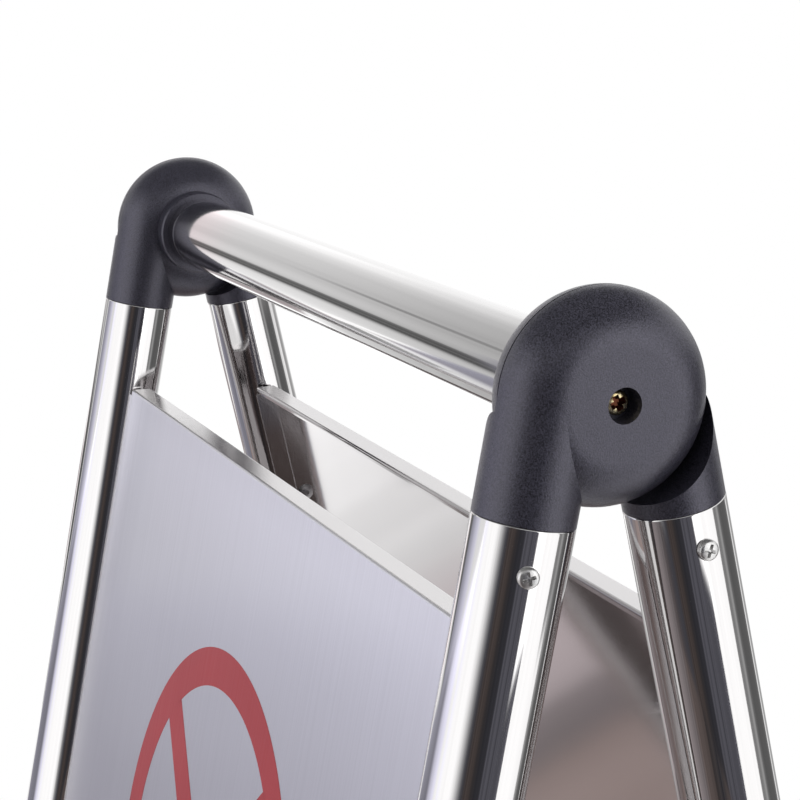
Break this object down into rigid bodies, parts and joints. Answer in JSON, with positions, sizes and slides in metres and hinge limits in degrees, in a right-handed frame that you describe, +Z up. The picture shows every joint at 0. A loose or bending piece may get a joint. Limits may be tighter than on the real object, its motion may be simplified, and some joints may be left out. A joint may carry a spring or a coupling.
{
  "type": "a-frame caution sign",
  "caption": "Folding A-frame caution sign: leaning tube frames with folded sheet panels, hinged at the top by moulded elbows, with a grip tube that turns on the pivot axis.",
  "frame": {"origin": "on the floor under the middle of the pivot axis, with the sign standing open", "axes": "X along the pivot, front panel facing -Y, +Z up"},
  "size_m": [0.367, 0.2972, 0.6102],
  "materials": {
    "tube_steel": "polished bright",
    "panel_steel": "long vertical grain",
    "hinge_plastic": "fine sandblast grain",
    "foot_rubber": "matte",
    "screw_steel": "bright zinc",
    "bolt_yellow_zinc": "yellow zinc plated",
    "rivet_aluminium": "plain"
  },
  "bodies": {
    "front_frame": {"front_panel": "panel_steel", "front_panel_rivets": "rivet_aluminium", "front_right_leg": "tube_steel", "front_left_leg": "tube_steel", "front_right_elbow": "hinge_plastic", "front_left_elbow": "hinge_plastic", "front_right_screw": "screw_steel", "front_left_screw": "screw_steel", "front_right_foot": "foot_rubber", "front_left_foot": "foot_rubber", "front_pivot_bolt": "bolt_yellow_zinc", "front_pivot_nut": "bolt_yellow_zinc"},
    "rear_frame": {"rear_panel": "panel_steel", "rear_panel_rivets": "rivet_aluminium", "rear_right_leg": "tube_steel", "rear_left_leg": "tube_steel", "rear_right_elbow": "hinge_plastic", "rear_left_elbow": "hinge_plastic", "rear_right_screw": "screw_steel", "rear_left_screw": "screw_steel", "rear_right_foot": "foot_rubber", "rear_left_foot": "foot_rubber", "rear_pivot_bolt": "bolt_yellow_zinc", "rear_pivot_nut": "bolt_yellow_zinc"},
    "grip": {"grip_tube": "tube_steel"}
  },
  "joints": [
    {"name": "fold", "type": "hinge", "parent": "front_frame", "child": "rear_frame", "pos_m": [0, 0, 0.584], "axis": [-1, 0, 0], "range_deg": [0, 23.6]},
    {"name": "grip_turn", "type": "hinge", "parent": "front_frame", "child": "grip", "pos_m": [0, 0, 0.584], "axis": [1, 0, 0], "continuous": true}
  ]
}
